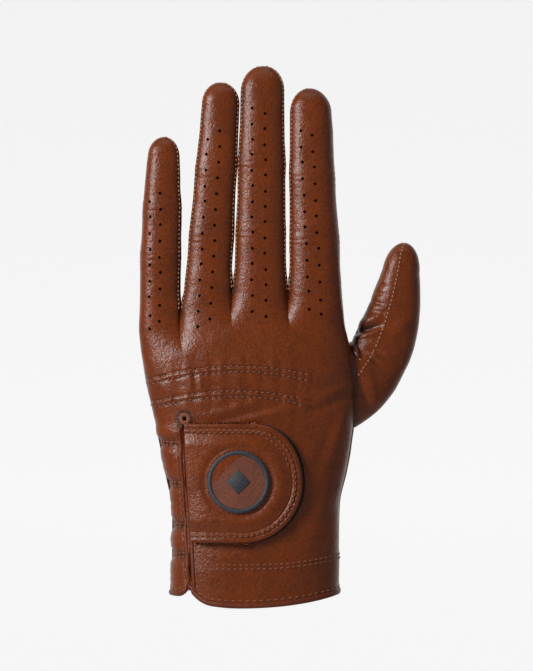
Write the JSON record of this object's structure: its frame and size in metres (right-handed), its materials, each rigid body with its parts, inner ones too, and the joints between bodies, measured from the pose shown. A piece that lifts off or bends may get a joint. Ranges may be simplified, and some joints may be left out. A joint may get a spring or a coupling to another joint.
{
  "type": "leather driving glove",
  "caption": "Left leather driving glove with perforated fingers, shirred back, wrist slit and a padded hook-and-loop tab with a round badge.",
  "frame": {"origin": "middle of the cuff's mouth, at the level of its bound hem", "axes": "+Z from the cuff to the fingertips, -Y out of the back of the hand, +X to the thumb's side"},
  "size_m": [0.1164, 0.0425, 0.2226],
  "materials": {
    "leather": "smooth fine-grained nappa, semi-gloss",
    "leather_side": "the same leather, darker on side walls and bound edges",
    "suede": "undyed flesh side of the lining and cut edges",
    "badge_leather": "matte",
    "badge_rubber": "matte dark slate",
    "hook_and_loop": "black hook-and-loop tape",
    "elastic": "black woven elastic"
  },
  "bodies": {
    "hand": {"back_panel": "leather", "palm_panel": "leather", "thumb_gusset": "leather", "loop_pad": "hook_and_loop", "cuff_binding": "leather_side", "slit_binding_back": "leather_side", "slit_binding_side": "leather_side", "keyhole_tack": "leather_side", "back_elastic_1": "elastic", "back_elastic_2": "elastic", "wrist_tape": "elastic", "side_elastic_1": "elastic", "side_elastic_2": "elastic", "side_elastic_3": "elastic", "side_elastic_4": "elastic"},
    "little": {"little_back": "leather", "little_palm": "leather", "little_fourchette_right": "leather_side"},
    "ring": {"ring_back": "leather", "ring_palm": "leather", "ring_fourchette_left": "leather_side", "ring_fourchette_right": "leather_side"},
    "middle": {"middle_back": "leather", "middle_palm": "leather", "middle_fourchette_left": "leather_side", "middle_fourchette_right": "leather_side"},
    "index": {"index_back": "leather", "index_palm": "leather", "index_fourchette_left": "leather_side"},
    "thumb": {"thumb_outer": "leather", "thumb_inner": "leather"},
    "tab": {"tab_leather": "leather", "tab_lining": "suede", "hook_pad": "hook_and_loop", "badge_ring": "badge_rubber", "badge_face": "badge_leather", "badge_emblem": "badge_rubber"}
  },
  "joints": [
    {"name": "little_bend", "type": "hinge", "parent": "hand", "child": "little", "pos_m": [-0.03985, 0.005, 0.127], "axis": [-1, 0, 0], "range_deg": [0, 75]},
    {"name": "ring_bend", "type": "hinge", "parent": "hand", "child": "ring", "pos_m": [-0.02065, 0.005, 0.131], "axis": [-1, 0, 0], "range_deg": [0, 75]},
    {"name": "middle_bend", "type": "hinge", "parent": "hand", "child": "middle", "pos_m": [0.00155, 0.005, 0.133], "axis": [-1, 0, 0], "range_deg": [0, 75]},
    {"name": "index_bend", "type": "hinge", "parent": "hand", "child": "index", "pos_m": [0.02485, 0.005, 0.131], "axis": [-1, 0, 0], "range_deg": [0, 75]},
    {"name": "thumb_bend", "type": "hinge", "parent": "hand", "child": "thumb", "pos_m": [0.041, 0.0185, 0.09], "axis": [0, 0, 1], "range_deg": [0, 40]},
    {"name": "tab_peel", "type": "hinge", "parent": "hand", "child": "tab", "pos_m": [-0.0285, -0.0165, 0.051], "axis": [0, 0, -1], "range_deg": [0, 140]}
  ]
}
